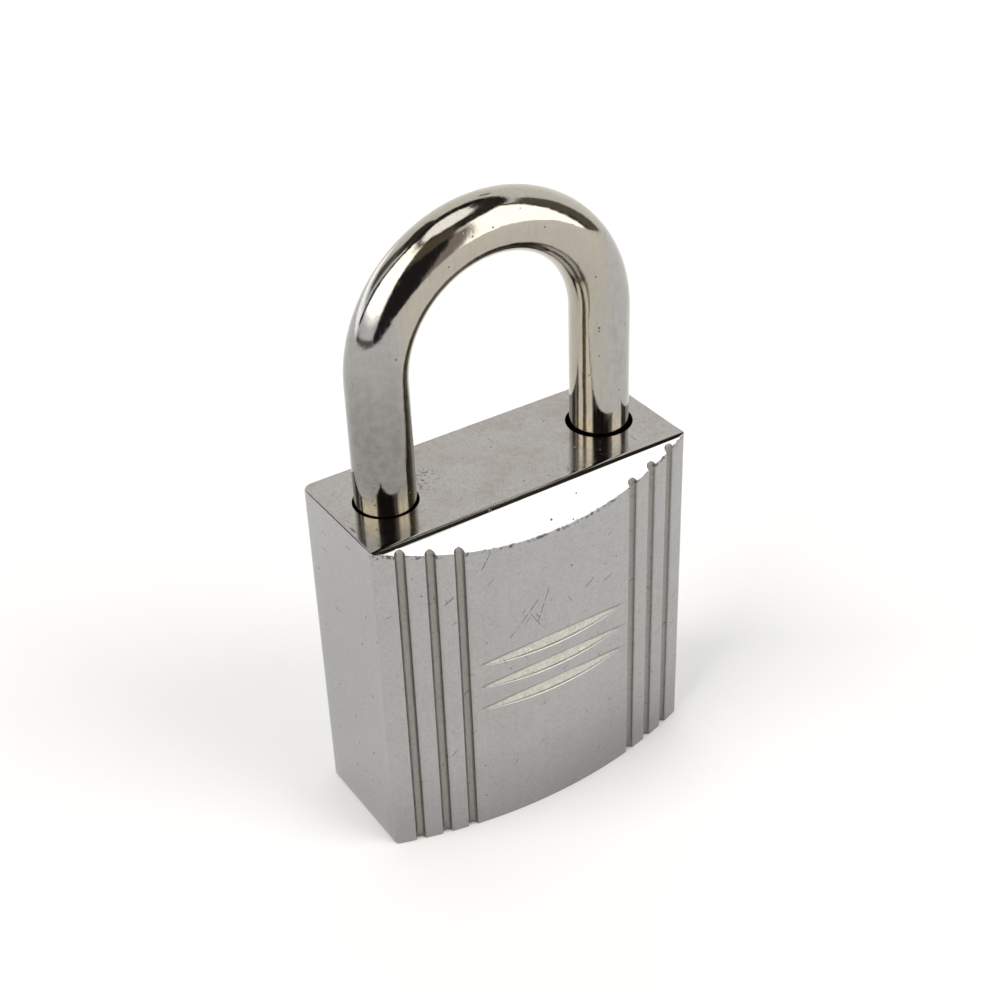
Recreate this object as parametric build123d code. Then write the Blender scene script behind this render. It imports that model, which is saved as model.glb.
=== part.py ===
"""Small bow-fronted key padlock: solid case, round-bar shackle, warded lock.

Frame: millimetres, +Z up, +X from the heel leg to the toe leg, -Y out of the
bowed front face.  The origin is the centre of the base.  The lock is drawn
shut and unlocked: the shackle is down and the bolt is drawn back.

How it works: a key goes up through the slotted disc in the base and past the
wards, and its tip enters the driver.  Half a turn carries the bolt's follower
pin outwards along the driver's spiral slot, and the bolt's nose enters the
notch in the toe leg.  Unlocked, the shackle lifts until the full wire at the
foot of the heel leg meets the retaining pin.
"""
from build123d import *
import math
import os

# ---- case ------------------------------------------------------------------
case_width = 18.0
case_depth = 6.9            # flat back to the front corners
bow_rise = 1.6              # swell of the front face past its corners
case_height = 18.3
back_edge_radius = 0.6      # upright back edges
edge_break = 0.12           # broken sharp edges
lip_radius = 0.55           # between the flat top and the crescent facet
facet_slope = 41.0          # degrees, crescent facet that trims the top of the bow

# ---- front ornament --------------------------------------------------------
flute_insets = (1.25, 2.62, 4.00)   # flute centres, from each side
flute_radius = 0.24
bar_count = 3
bar_pitch = 1.39
bar_middle_height = 9.0
bar_width = 0.70            # at the middle of a pointed bar
bar_sink = 0.15             # depth at the middle; the tips run out to nothing
bar_end_gap = 0.05          # from a bar's tip to the inner flute

# ---- shackle ---------------------------------------------------------------
wire_diameter = 3.0
leg_inset = 2.78            # leg centre to the side of the case
leg_rise = 6.4              # straight leg above the case
toe_depth = 5.7             # toe leg inside the case
heel_end_height = 1.5       # underside of the heel leg
shackle_lift = 6.5
wire_end_break = 0.25
heel_clearance = 0.10       # radial, tight guide bore
toe_clearance = 0.20        # radial, loose entry bore
end_clearance = 0.25        # under each leg's end

# ---- heel retaining pin and friction ball ----------------------------------
heel_pin_diameter = 0.9
heel_slot_depth = 0.65
heel_shoulder = 1.0         # full wire left below the neck
ball_diameter = 1.0
ball_spacing = 1.8          # ball above the retaining pin
plug_length = 0.55
spring_wire = 0.14
spring_turns = 4

# ---- lock core -------------------------------------------------------------
core_diameter = 6.6
base_plate_thickness = 0.8
base_plate_wall = 0.9       # rim of the case round the base plate
base_rivet_diameter = 1.0
base_rivet_length = 2.8
base_rivet_setback = 2.5    # rivet centres in front of the leg centres
barrel_wall = 0.45
face_diameter = 4.4         # slotted disc seen in the base
face_recess = 0.1
flange_thickness = 0.65
keyway_length = 3.4
keyway_width = 0.8
key_post_diameter = 1.5
ward_count = 3
ward_thickness = 0.6
ward_slot_step = 0.3        # each ward's slot is this much shorter than the last
spacer_wall = 0.75
locating_pin_diameter = 0.6

# ---- driver, bolt and guide ------------------------------------------------
driver_thickness = 2.9
driver_hub_length = 0.95
thrust_washer_thickness = 0.35
driver_socket_length = 2.6
driver_socket_depth = 2.5
cam_turn = 180.0            # degrees of key turn from unlocked to locked
bolt_throw = 1.1
follower_radius_start = 1.0     # follower pin to key axis, bolt drawn back
follower_diameter = 0.8
cam_slot_depth = 1.0
stop_pin_diameter = 0.8
stop_groove_depth = 0.6
bolt_thickness = 1.2
bolt_nose_width = 1.8
bolt_front_edge = 1.1       # bolt plate in front of the key axis
bolt_setback = 0.4          # nose to toe leg, bolt drawn back
notch_depth = 1.0
hook_thickness = 1.0        # toe leg left below the notch
guide_roof = 0.9
dowel_diameter = 0.8
dowel_length = 2.0

# ---- clearances ------------------------------------------------------------
fit = 0.02                  # pieces set in and held
running = 0.05              # faces that slide past each other
turning = 0.15              # radial, round what turns
bolt_play = 0.15            # notch over and under the bolt
pin_play = 0.1

# ---- places worked out from the sizes above --------------------------------
case_thickness = case_depth + bow_rise
back_y = case_thickness / 2
corner_y = back_y - case_depth
bow_radius = (case_width**2 / 4 + bow_rise**2) / (2 * bow_rise)
bow_centre_y = bow_radius - case_thickness / 2

leg_x = case_width / 2 - leg_inset
leg_y = back_y - case_depth / 2
wire_radius = wire_diameter / 2
heel_bore_radius = wire_radius + heel_clearance
toe_bore_radius = wire_radius + toe_clearance
arch_height = case_height + leg_rise
toe_end_height = case_height - toe_depth

neck_bottom = heel_end_height + heel_shoulder
heel_pin_radius = heel_pin_diameter / 2
heel_pin_height = neck_bottom + shackle_lift + heel_pin_radius + pin_play
heel_slot_y = leg_y + wire_radius - heel_slot_depth
ball_radius = ball_diameter / 2
ball_height = heel_pin_height + ball_spacing
ball_y = heel_slot_y + ball_radius + fit
heel_slot_top = ball_height + ball_radius + pin_play
plug_front_y = back_y - running - plug_length

core_radius = core_diameter / 2
barrel_radius = core_radius - fit
barrel_bore_radius = barrel_radius - barrel_wall
face_hole_radius = face_diameter / 2 + running
flange_bottom = base_plate_thickness + running
stack_bottom = flange_bottom + flange_thickness + running

bolt_bottom = toe_end_height + hook_thickness + bolt_play
bolt_top = bolt_bottom + bolt_thickness
bolt_back_edge = leg_y + bolt_nose_width / 2
bolt_tail = math.sqrt(core_radius**2 - bolt_back_edge**2) - turning
bolt_plate_reach = math.sqrt(core_radius**2 - bolt_front_edge**2) - bolt_throw - turning
driver_top = bolt_bottom - pin_play
driver_bottom = driver_top - driver_thickness
driver_radius = core_radius - turning
hub_bottom = driver_bottom - driver_hub_length
barrel_top = driver_bottom - running - thrust_washer_thickness
stack_top = hub_bottom - running
spacer_height = (stack_top - stack_bottom - ward_count * ward_thickness) / (ward_count + 1)
guide_bottom = driver_top + running
core_roof = bolt_top + running + guide_roof
stop_pin_radius = stop_pin_diameter / 2
stop_pin_height = driver_bottom + driver_thickness / 3
follower_radius = follower_diameter / 2


# ---- shared shapes ---------------------------------------------------------
def front_y(x, inset=0.0):
    """Y of the bowed front at X, moved inwards by inset."""
    return bow_centre_y - math.sqrt((bow_radius - inset) ** 2 - x**2)


def post(x, y, radius, bottom, top):
    """Upright cylinder between two heights."""
    return Pos(x, y, (bottom + top) / 2) * Cylinder(radius, top - bottom)


def cross_post(x, z, radius, front, back):
    """Cylinder along Y between two places."""
    return Pos(x, (front + back) / 2, z) * Rot(90, 0, 0) * Cylinder(radius, back - front)


def block(x_span, y_span, z_span):
    """Box between three pairs of limits."""
    spans = (x_span, y_span, z_span)
    middle = [(low + high) / 2 for low, high in spans]
    return Pos(*middle) * Box(*[high - low for low, high in spans])


def case_plan(inset=0.0):
    """Plan of the case: flat back and sides, bowed front, rounded back corners."""
    half = case_width / 2 - inset
    corner = front_y(half, inset)
    bow = ThreePointArc((-half, corner), (0, front_y(0, inset)), (half, corner))
    rest = Polyline((half, corner), (half, back_y - inset), (-half, back_y - inset), (-half, corner))
    face = make_face(Curve() + [bow, rest])
    return fillet(face.vertices().group_by(Axis.Y)[-1], max(back_edge_radius - inset, edge_break))


def keyway(length, width, bottom, top):
    """Upright cutter for the key: a slot across a round post hole."""
    slot = block((-length / 2, length / 2), (-width / 2, width / 2), (bottom, top))
    return slot + post(0, 0, key_post_diameter / 2, bottom, top)


# ---- case ------------------------------------------------------------------
def facet_cutter():
    """Trims the top of the bow to a sloping crescent."""
    far_y = -case_thickness
    far_z = case_height - (corner_y - far_y) * math.tan(math.radians(facet_slope))
    outline = Polyline((corner_y, case_height), (far_y, case_height), (far_y, far_z), close=True)
    side_view = Plane(origin=(-case_width, 0, 0), x_dir=(0, 1, 0), z_dir=(1, 0, 0))
    return extrude(side_view * make_face(outline), 2 * case_width)


def flute_cutters():
    """Upright round-bottomed flutes, centred on the bowed face."""
    places = [side * (case_width / 2 - inset) for inset in flute_insets for side in (-1, 1)]
    return [post(x, front_y(x), flute_radius, -1, case_height + 1) for x in places]


def bar_cutters():
    """Pointed level bars: a straight shallow floor behind a bowed face."""
    half = case_width / 2 - max(flute_insets) - flute_radius - bar_end_gap
    tip_y = front_y(half)
    floor_sagitta = tip_y - front_y(0) - bar_sink
    floor_radius = (half**2 + floor_sagitta**2) / (2 * floor_sagitta)
    keep = post(0, tip_y - floor_sagitta + floor_radius, floor_radius, 0, case_height)
    first = bar_middle_height - bar_pitch * (bar_count - 1) / 2
    bars = []
    for index in range(bar_count):
        z = first + index * bar_pitch
        upper = ThreePointArc((-half, z), (0, z + bar_width / 2), (half, z))
        lower = ThreePointArc((half, z), (0, z - bar_width / 2), (-half, z))
        lens = Plane.XZ.offset(case_thickness) * make_face(Curve() + [upper, lower])
        bars.append(extrude(lens, -case_thickness) - keep)
    return bars


def make_body():
    body = extrude(case_plan(), case_height) - facet_cutter()
    lip = body.faces().sort_by(Axis.Z)[-1].edges().sort_by(Axis.Y)[0]
    body = fillet(lip, lip_radius)
    top_edges = body.faces().filter_by(Axis.Z).sort_by(Axis.Z)[-1].edges()
    body = chamfer(top_edges - top_edges.group_by(Axis.Y)[0], edge_break)
    upright = body.edges().filter_by(Axis.Z).group_by(Axis.Y)[0]
    body = fillet(upright, edge_break)
    body = chamfer(body.faces().sort_by(Axis.Z)[0].edges(), edge_break)
    for cutter in flute_cutters() + bar_cutters():
        body -= cutter
    body -= post(-leg_x, leg_y, heel_bore_radius, heel_end_height - end_clearance, case_height + 1)
    body -= post(leg_x, leg_y, toe_bore_radius, toe_end_height - end_clearance, case_height + 1)
    body -= post(0, 0, core_radius, -1, core_roof)
    body -= extrude(case_plan(base_plate_wall), base_plate_thickness)
    window_y = (leg_y - bolt_nose_width / 2 - running, bolt_back_edge + running)
    body -= block((0, leg_x), window_y, (bolt_bottom - running, bolt_top + running))
    body -= cross_post(-leg_x, heel_pin_height, heel_pin_radius + fit, leg_y, back_y + 1)
    body -= cross_post(-leg_x, ball_height, ball_radius + fit, leg_y, back_y + 1)
    body -= cross_post(0, stop_pin_height, stop_pin_radius + fit, 0, back_y + 1)
    body -= post(*dowel_place(), dowel_diameter / 2 + fit, core_roof - 1, dowel_top() + fit)
    for x, y in rivet_places():
        body -= post(x, y, base_rivet_diameter / 2 + fit, -1, base_rivet_length + fit)
    return body


def rivet_places():
    return [(side * leg_x, leg_y - base_rivet_setback) for side in (-1, 1)]


def make_base_plate():
    plate = extrude(case_plan(base_plate_wall + fit), base_plate_thickness)
    plate -= post(0, 0, face_hole_radius, -1, base_plate_thickness + 1)
    for x, y in rivet_places():
        plate -= post(x, y, base_rivet_diameter / 2 + fit, -1, base_plate_thickness + 1)
    return plate


def make_base_rivets():
    return [post(x, y, base_rivet_diameter / 2, 0, base_rivet_length) for x, y in rivet_places()]


# ---- shackle and what holds it ---------------------------------------------
def make_shackle():
    section = Plane.XY * Circle(wire_radius)
    heel = (-leg_x, leg_y, heel_end_height)
    heel_shoulder_point = (-leg_x, leg_y, arch_height)
    toe_shoulder_point = (leg_x, leg_y, arch_height)
    toe = (leg_x, leg_y, toe_end_height)
    arch = ThreePointArc(heel_shoulder_point, (0, leg_y, arch_height + leg_x), toe_shoulder_point)
    path = Curve() + [Line(heel, heel_shoulder_point), arch, Line(toe_shoulder_point, toe)]
    shackle = sweep(Pos(*heel) * section, path)
    for end in (heel, toe):
        rim = shackle.edges().filter_by(GeomType.CIRCLE).sort_by_distance(end)[0]
        shackle = chamfer(rim, wire_end_break)
    return shackle - heel_slot_cutter() - heel_neck_cutter() - toe_notch_cutter()


def heel_slot_cutter():
    """Long flat-bottomed slot down the back of the heel leg."""
    half = heel_pin_radius + pin_play
    return block((-leg_x - half, -leg_x + half), (heel_slot_y, back_y), (neck_bottom, heel_slot_top))


def heel_neck_cutter():
    """Turned neck at the foot of the slot, where the lifted shackle can swing."""
    top = neck_bottom + heel_pin_diameter + 2 * pin_play
    ring = post(-leg_x, leg_y, wire_radius + 1, neck_bottom, top)
    return ring - post(-leg_x, leg_y, wire_radius - heel_slot_depth, neck_bottom, top)


def toe_notch_cutter():
    """Flat notch on the inner side of the toe leg, for the bolt's nose."""
    inner_x = leg_x - wire_radius
    notch_y = (leg_y - wire_diameter, leg_y + wire_diameter)
    notch_z = (bolt_bottom - bolt_play, bolt_top + bolt_play)
    return block((inner_x - 1, inner_x + notch_depth), notch_y, notch_z)


def make_heel_pin():
    return cross_post(-leg_x, heel_pin_height, heel_pin_radius, heel_slot_y + pin_play, back_y - running)


def make_friction_ball():
    return Pos(-leg_x, ball_y, ball_height) * Sphere(ball_radius)


def make_friction_spring():
    front = ball_y + ball_radius + fit + spring_wire / 2
    length = plug_front_y - fit - spring_wire / 2 - front
    coil_radius = ball_radius - spring_wire
    coil = Helix(pitch=length / spring_turns, height=length, radius=coil_radius)
    section = Plane(origin=coil @ 0, z_dir=coil % 0) * Circle(spring_wire / 2)
    spring = sweep(section, coil, is_frenet=True)
    return Pos(-leg_x, front, ball_height) * Rot(-90, 0, 0) * spring


def make_friction_plug():
    return cross_post(-leg_x, ball_height, ball_radius, plug_front_y, back_y - running)


# ---- lock core -------------------------------------------------------------
def make_key_disc():
    disc = post(0, 0, face_diameter / 2, face_recess, flange_bottom)
    disc += post(0, 0, barrel_bore_radius - turning, flange_bottom, flange_bottom + flange_thickness)
    return disc - keyway(keyway_length, keyway_width, -1, stack_bottom)


def locating_pin(grow, bottom, top):
    return post(0, -barrel_bore_radius, locating_pin_diameter / 2 + grow, bottom, top)


def make_lock_barrel():
    barrel = post(0, 0, barrel_radius, base_plate_thickness, barrel_top)
    barrel -= post(0, 0, barrel_bore_radius, base_plate_thickness, barrel_top)
    return barrel - locating_pin(fit, stack_bottom, barrel_top)


def make_locating_pin():
    return locating_pin(0, stack_bottom, stack_top)


def ward_bottom(index):
    return stack_bottom + spacer_height + index * (ward_thickness + spacer_height)


def make_ward_plate(index):
    bottom = ward_bottom(index)
    top = bottom + ward_thickness
    plate = post(0, 0, barrel_bore_radius - fit, bottom, top)
    plate -= keyway(keyway_length - index * ward_slot_step, keyway_width, bottom, top)
    return plate - locating_pin(fit, bottom, top)


def make_ward_spacer(index):
    bottom = stack_bottom + index * (ward_thickness + spacer_height)
    top = bottom + spacer_height
    ring = post(0, 0, barrel_bore_radius - fit, bottom, top)
    ring -= post(0, 0, barrel_bore_radius - fit - spacer_wall, bottom, top)
    return ring - locating_pin(fit, bottom, top)


# ---- driver, bolt and guide ------------------------------------------------
def make_thrust_washer():
    top = barrel_top + thrust_washer_thickness
    ring = post(0, 0, barrel_radius, barrel_top, top)
    return ring - post(0, 0, barrel_bore_radius - turning / 2, barrel_top, top)


def cam_point(turn, side):
    """Point of the cam slot at a turn of the key; side is -1, 0 or 1 across its width."""
    rise = bolt_throw / math.radians(cam_turn)
    radius = follower_radius_start + rise * turn
    along = math.atan2(radius, -rise)
    half = side * (follower_radius + running)
    x = radius * math.cos(-turn) + half * math.sin(along - turn)
    y = radius * math.sin(-turn) - half * math.cos(along - turn)
    return Vector(x, y)


def cam_slot_cutter():
    """Spiral slot: its radius grows evenly with the key's turn, so the bolt moves evenly."""
    steps = 8
    turns = [math.radians(cam_turn) * index / steps for index in range(steps + 1)]
    edges = []
    for side in (-1, 1):
        edges.append(Spline([cam_point(turn, side) for turn in turns]))
    slot = make_face(Curve() + edges + [Line(edges[0] @ end, edges[1] @ end) for end in (0, 1)])
    cutter = extrude(Pos(0, 0, driver_top - cam_slot_depth) * slot, cam_slot_depth)
    for turn in (turns[0], turns[-1]):
        middle = cam_point(turn, 0)
        radius = follower_radius + running
        cutter += post(middle.X, middle.Y, radius, driver_top - cam_slot_depth, driver_top)
    return cutter


def stop_groove_cutter():
    """Half-turn groove in the driver's rim; the stop pin meets its two ends."""
    inner = driver_radius - stop_groove_depth
    margin = math.degrees((stop_pin_radius + pin_play) / inner)
    half_height = stop_pin_radius + running
    bottom = stop_pin_height - half_height
    sweep_angle = cam_turn + 2 * margin
    on_axis = (Align.NONE, Align.NONE, Align.CENTER)
    sector = Cylinder(core_radius + 1, 2 * half_height, arc_size=sweep_angle, align=on_axis)
    sector = Pos(0, 0, stop_pin_height) * Rot(0, 0, 90 - cam_turn - margin) * sector
    return sector - post(0, 0, inner, bottom, bottom + 2 * half_height)


def make_cam_driver():
    driver = post(0, 0, driver_radius, driver_bottom, driver_top)
    driver += post(0, 0, barrel_bore_radius - turning, hub_bottom, driver_bottom)
    driver -= keyway(driver_socket_length, keyway_width, hub_bottom, hub_bottom + driver_socket_depth)
    return driver - cam_slot_cutter() - stop_groove_cutter()


def make_stop_pin():
    tip_y = driver_radius - stop_groove_depth + pin_play
    return cross_post(0, stop_pin_height, stop_pin_radius, tip_y, back_y - running)


def make_lock_bolt():
    nose_tip = leg_x - wire_radius - bolt_setback
    height = (bolt_bottom, bolt_top)
    bolt = block((-bolt_tail, bolt_plate_reach), (-bolt_front_edge, bolt_back_edge), height)
    nose_y = (leg_y - bolt_nose_width / 2, bolt_back_edge)
    bolt += block((bolt_plate_reach, nose_tip), nose_y, height)
    return bolt - post(follower_radius_start, 0, follower_radius + fit / 2, *height)


def make_follower_pin():
    bottom = driver_top - cam_slot_depth + pin_play
    return post(follower_radius_start, 0, follower_radius, bottom, bolt_top)


def make_bolt_guide():
    guide = post(0, 0, barrel_radius, guide_bottom, core_roof)
    channel_y = (-bolt_front_edge - running, bolt_back_edge + running)
    guide -= block((-bolt_tail - bolt_play, case_width), channel_y, (guide_bottom, bolt_top + running))
    return guide - post(*dowel_place(), dowel_diameter / 2 + fit, guide_bottom, core_roof)


def dowel_place():
    return (-core_radius / 2, 0)


def dowel_top():
    return bolt_top + pin_play + dowel_length


def make_guide_dowel():
    return post(*dowel_place(), dowel_diameter / 2, bolt_top + pin_play, dowel_top())


# ---- every piece, by node name ---------------------------------------------
def make_pieces():
    pieces = {
        "body": make_body(),
        "shackle": make_shackle(),
        "base_plate": make_base_plate(),
        "base_rivets": make_base_rivets(),
        "key_disc": make_key_disc(),
        "lock_barrel": make_lock_barrel(),
        "ward_locating_pin": make_locating_pin(),
        "thrust_washer": make_thrust_washer(),
        "cam_driver": make_cam_driver(),
        "driver_stop_pin": make_stop_pin(),
        "lock_bolt": make_lock_bolt(),
        "bolt_follower_pin": make_follower_pin(),
        "bolt_guide": make_bolt_guide(),
        "guide_dowel": make_guide_dowel(),
        "heel_retaining_pin": make_heel_pin(),
        "friction_ball": make_friction_ball(),
        "friction_spring": make_friction_spring(),
        "friction_plug": make_friction_plug(),
    }
    for index in range(ward_count):
        pieces[f"ward_plate_{index + 1}"] = make_ward_plate(index)
    for index in range(ward_count + 1):
        pieces[f"ward_spacer_{index + 1}"] = make_ward_spacer(index)
    return pieces


os.makedirs("parts", exist_ok=True)
for name, piece in make_pieces().items():
    shape = Compound(children=piece) if isinstance(piece, list) else piece
    export_step(shape, f"parts/{name}.step")
    print(f"{name:20s} volume {shape.volume:9.3f} mm3")
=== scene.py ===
# %% [markdown]
# # A small bow-fronted key padlock
#
# The real thing is a plated brass case 18 mm wide with a bowed front, six upright
# flutes, three pointed level bars, and a shackle of 3 mm round bar.  The machined
# pieces come from CAD.  This notebook gives the outside its smooth skins, its
# plating and wear, and sets up the picture.
#
# The CAD model is loaded first, because every size and place below is read from it.

# %% Load the CAD model
import math

import bmesh
import bpy
import numpy as np
from mathutils import Matrix, Vector


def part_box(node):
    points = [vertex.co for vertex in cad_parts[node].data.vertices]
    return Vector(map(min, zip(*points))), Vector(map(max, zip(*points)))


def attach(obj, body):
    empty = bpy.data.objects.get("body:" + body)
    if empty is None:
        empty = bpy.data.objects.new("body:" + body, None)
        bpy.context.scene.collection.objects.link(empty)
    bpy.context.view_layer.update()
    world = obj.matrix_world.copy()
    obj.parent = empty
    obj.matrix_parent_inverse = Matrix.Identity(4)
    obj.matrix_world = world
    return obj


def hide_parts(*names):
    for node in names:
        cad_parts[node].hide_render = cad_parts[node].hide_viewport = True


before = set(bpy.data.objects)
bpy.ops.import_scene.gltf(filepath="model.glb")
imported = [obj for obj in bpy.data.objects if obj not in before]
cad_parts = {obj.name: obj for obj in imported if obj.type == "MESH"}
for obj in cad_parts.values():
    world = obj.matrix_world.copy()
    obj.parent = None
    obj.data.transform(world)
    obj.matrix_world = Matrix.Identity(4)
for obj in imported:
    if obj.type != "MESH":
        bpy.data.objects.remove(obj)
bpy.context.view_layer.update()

# %% [markdown]
# ## Sizes
#
# Everything below is worked out in millimetres and turned into metres when a mesh
# is made.  Outside sizes are read off the CAD boxes.  The few that a box can't
# show, such as the depth of a flute, are written out once here.

# %% Sizes of the case and shackle
def node_box(name):
    """Lowest and highest corners of a CAD node, in millimetres."""
    return [np.round(1000 * np.array(corner), 2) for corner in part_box(name)]


case_low, case_high = node_box("body")
bar_low, bar_high = node_box("shackle")

half_width = case_high[0]
back_y = case_high[1]
front_apex_y = case_low[1]
case_top = case_high[2]
bow_rise = 1.6
corner_y = front_apex_y + bow_rise
bow_radius = (half_width**2 + bow_rise**2) / (2 * bow_rise)
bow_centre_y = front_apex_y + bow_radius
back_edge_radius = 0.6
edge_break = 0.12

facet_slope = math.radians(41.0)
lip_radius = 0.55
lip_reach = lip_radius * math.tan(facet_slope / 2)
lip_y = corner_y + lip_reach
slope_y = corner_y - lip_reach * math.cos(facet_slope)

wire_radius = 1.5
leg_x = bar_high[0] - wire_radius
leg_y = 0.8
arch_z = case_top + 6.4
heel_end_z = bar_low[2]
toe_end_z = case_top - 5.7
heel_bore_radius = wire_radius + 0.10
toe_bore_radius = wire_radius + 0.20
print("case half width", half_width, "leg at", leg_x, leg_y, "arch springs at", arch_z)

# %% [markdown]
# ## Helpers for surfaces
#
# A surface is a grid of points worked out with numpy.  Neighbouring surfaces share
# their edge points, and merging those points makes one closed skin.

# %% Grids to meshes
def grid_faces(rows, columns, closed):
    """Quads of a rows-by-columns grid: each joins a point, its right neighbour, and
    the two above them.  A closed grid joins its last column to its first."""
    across = np.arange(columns if closed else columns - 1)
    base = np.arange(rows - 1)[:, None] * columns
    here, right = base + across, base + (across + 1) % columns
    return np.stack([here, right, right + columns, here + columns], -1).reshape(-1, 4)


def grid_patch(points, closed=False):
    """A patch is its points and its faces; points has the shape rows, columns, 3."""
    return points.reshape(-1, 3), grid_faces(*points.shape[:2], closed).tolist()


def flat_patch(loop):
    """One flat face round a loop of points, anticlockwise seen from outside."""
    return loop, [list(range(len(loop)))]


def skin(name, patches):
    """Joins patches into one object, in metres, and merges the points they share."""
    points, faces, count = [], [], 0
    for patch_points, patch_faces in patches:
        points.append(patch_points)
        faces += [[count + corner for corner in face] for face in patch_faces]
        count += len(patch_points)
    mesh = bpy.data.meshes.new(name)
    mesh.from_pydata((np.concatenate(points) / 1000).tolist(), [], faces)
    work = bmesh.new()
    work.from_mesh(mesh)
    bmesh.ops.remove_doubles(work, verts=work.verts, dist=5e-8)
    bmesh.ops.dissolve_degenerate(work, edges=work.edges, dist=1e-8)
    work.to_mesh(mesh)
    work.free()
    piece = bpy.data.objects.new(name, mesh)
    bpy.context.scene.collection.objects.link(piece)
    return piece


def curve(start, corner, end, steps):
    """Quadratic curve from start to end, pulled towards the sharp corner between
    them.  start, corner and end may be single points or rows of points."""
    t = np.linspace(0, 1, steps + 1).reshape(-1, *[1] * np.ndim(start))
    return (1 - t) ** 2 * start + 2 * t * (1 - t) * corner + t**2 * end


# %% [markdown]
# ## Cutting
#
# The bores, the base recess and the pin holes are drilled out of the finished skin,
# as they are on the real case.  A drill is a profile turned about an axis, so a
# rounded rim is part of the drill's shape.

# %% Drills and cutters
def turned(profile, centre, axis="Z", steps=96):
    """Closed surface of a profile of (radius, distance along the axis) turned about
    the axis: x is radius times cosine, y is radius times sine."""
    profile = np.array(profile, float)
    angle = np.linspace(0, 2 * math.pi, steps, endpoint=False)
    radius, along = profile[:, :1], profile[:, 1:]
    flat = np.ones(steps)
    if axis == "Z":
        spots = [radius * np.cos(angle), radius * np.sin(angle), along * flat]
    else:
        spots = [radius * np.sin(angle), along * flat, radius * np.cos(angle)]
    return grid_patch(np.stack(spots, -1) + np.array(centre, float), closed=True)


def drill(radius, start, end, centre, axis="Z"):
    """Plain round drill between two distances along its axis."""
    return turned([(0, start), (radius, start), (radius, end), (0, end)], centre, axis)


def prism(loop, bottom, top):
    """Solid with the same plan at each height; loop runs anticlockwise from above."""
    flat = np.ones(len(loop))
    rings = [np.column_stack([loop, height * flat]) for height in (bottom, top)]
    sides = grid_patch(np.stack(rings), closed=True)
    return [sides, flat_patch(rings[0][::-1]), flat_patch(rings[1])]


def box_loop(x_span, y_span):
    """The four corners of a rectangle, anticlockwise."""
    (x0, x1), (y0, y1) = x_span, y_span
    return np.array([(x0, y0), (x1, y0), (x1, y1), (x0, y1)], float)


def cut(piece, patches):
    """Takes a closed cutter away from the piece, and keeps the result as its mesh."""
    cutter = skin("cutter", patches)
    modifier = piece.modifiers.new("cut", "BOOLEAN")
    modifier.operation, modifier.solver, modifier.object = "DIFFERENCE", "EXACT", cutter
    graph = bpy.context.evaluated_depsgraph_get()
    mesh = bpy.data.meshes.new_from_object(piece.evaluated_get(graph))
    piece.modifiers.clear()
    piece.data = mesh
    bpy.data.objects.remove(cutter)


crease = math.radians(32.0)


def polish(piece):
    """Shades the piece smooth, but keeps edges sharper than the crease, and lets large
    faces decide the shading beside small ones."""
    piece.data.shade_smooth()
    piece.data.set_sharp_from_angle(angle=crease)
    modifier = piece.modifiers.new("even_shading", "WEIGHTED_NORMAL")
    modifier.mode, modifier.weight, modifier.keep_sharp = "FACE_AREA", 60, True


# %% [markdown]
# ## The plan of the case
#
# Seen from above, the case is a rectangle with a bowed front that six round flutes
# notch.  The skin's columns follow this outline, so the flutes come out of the plan
# by themselves, and columns bunch up where the outline turns.

# %% Outline of the case, seen from above
flute_places = half_width - np.array([1.25, 2.62, 4.00])
flute_places = np.concatenate([-flute_places, flute_places[::-1]])
flute_radius = 0.24
flute_rim = 0.05
front_edge_round = 0.12


def bow_y(x):
    """Y of the bowed front at x: an arc through both front corners."""
    return bow_centre_y - np.sqrt(bow_radius**2 - x**2)


def bow_points(start, end, spacing):
    """Points along the bow between two x places."""
    x = np.linspace(start, end, max(2, math.ceil((end - start) / spacing) + 1))
    return np.column_stack([x, bow_y(x)])


def flute_outline(x):
    """A round groove centred on the bow, with both of its rims eased."""
    slope = x / math.sqrt(bow_radius**2 - x**2)
    along = np.array([1, slope]) / math.hypot(1, slope)
    inward = np.array([-along[1], along[0]])
    middle = np.array([x, bow_y(x)])
    ease = flute_rim / flute_radius
    angle = np.linspace(math.pi - ease, ease, 19)[:, None]
    groove = middle + flute_radius * (np.cos(angle) * along + np.sin(angle) * inward)
    rims = []
    for side, end in ((-1, groove[0]), (1, groove[-1])):
        edge = middle + side * flute_radius * along
        away_x = edge[0] + side * flute_rim * along[0]
        rim = curve(np.array([away_x, bow_y(away_x)]), edge, end, 4)
        rims.append(rim if side < 0 else rim[::-1])
    return np.concatenate([rims[0][:-1], groove, rims[1][1:]])


def front_outline():
    """The bowed front from the left corner to the right one, flutes and all."""
    pieces = []
    reached = -half_width + front_edge_round
    for x in flute_places:
        groove = flute_outline(x)
        spacing = 0.09 if x == flute_places[3] else 0.16
        pieces += [bow_points(reached, groove[0, 0], spacing)[:-1], groove[:-1]]
        reached = groove[-1, 0]
    pieces.append(bow_points(reached, half_width - front_edge_round, 0.16))
    return np.concatenate(pieces)


def plain_loop(inset):
    """The outline without flutes, moved inwards, for the base recess."""
    half, back = half_width - inset, back_y - inset
    x = np.linspace(-half, half, 49)
    y = bow_centre_y - np.sqrt((bow_radius - inset) ** 2 - x**2)
    return np.concatenate([np.column_stack([x, y]), [(half, back), (-half, back)]])


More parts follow.
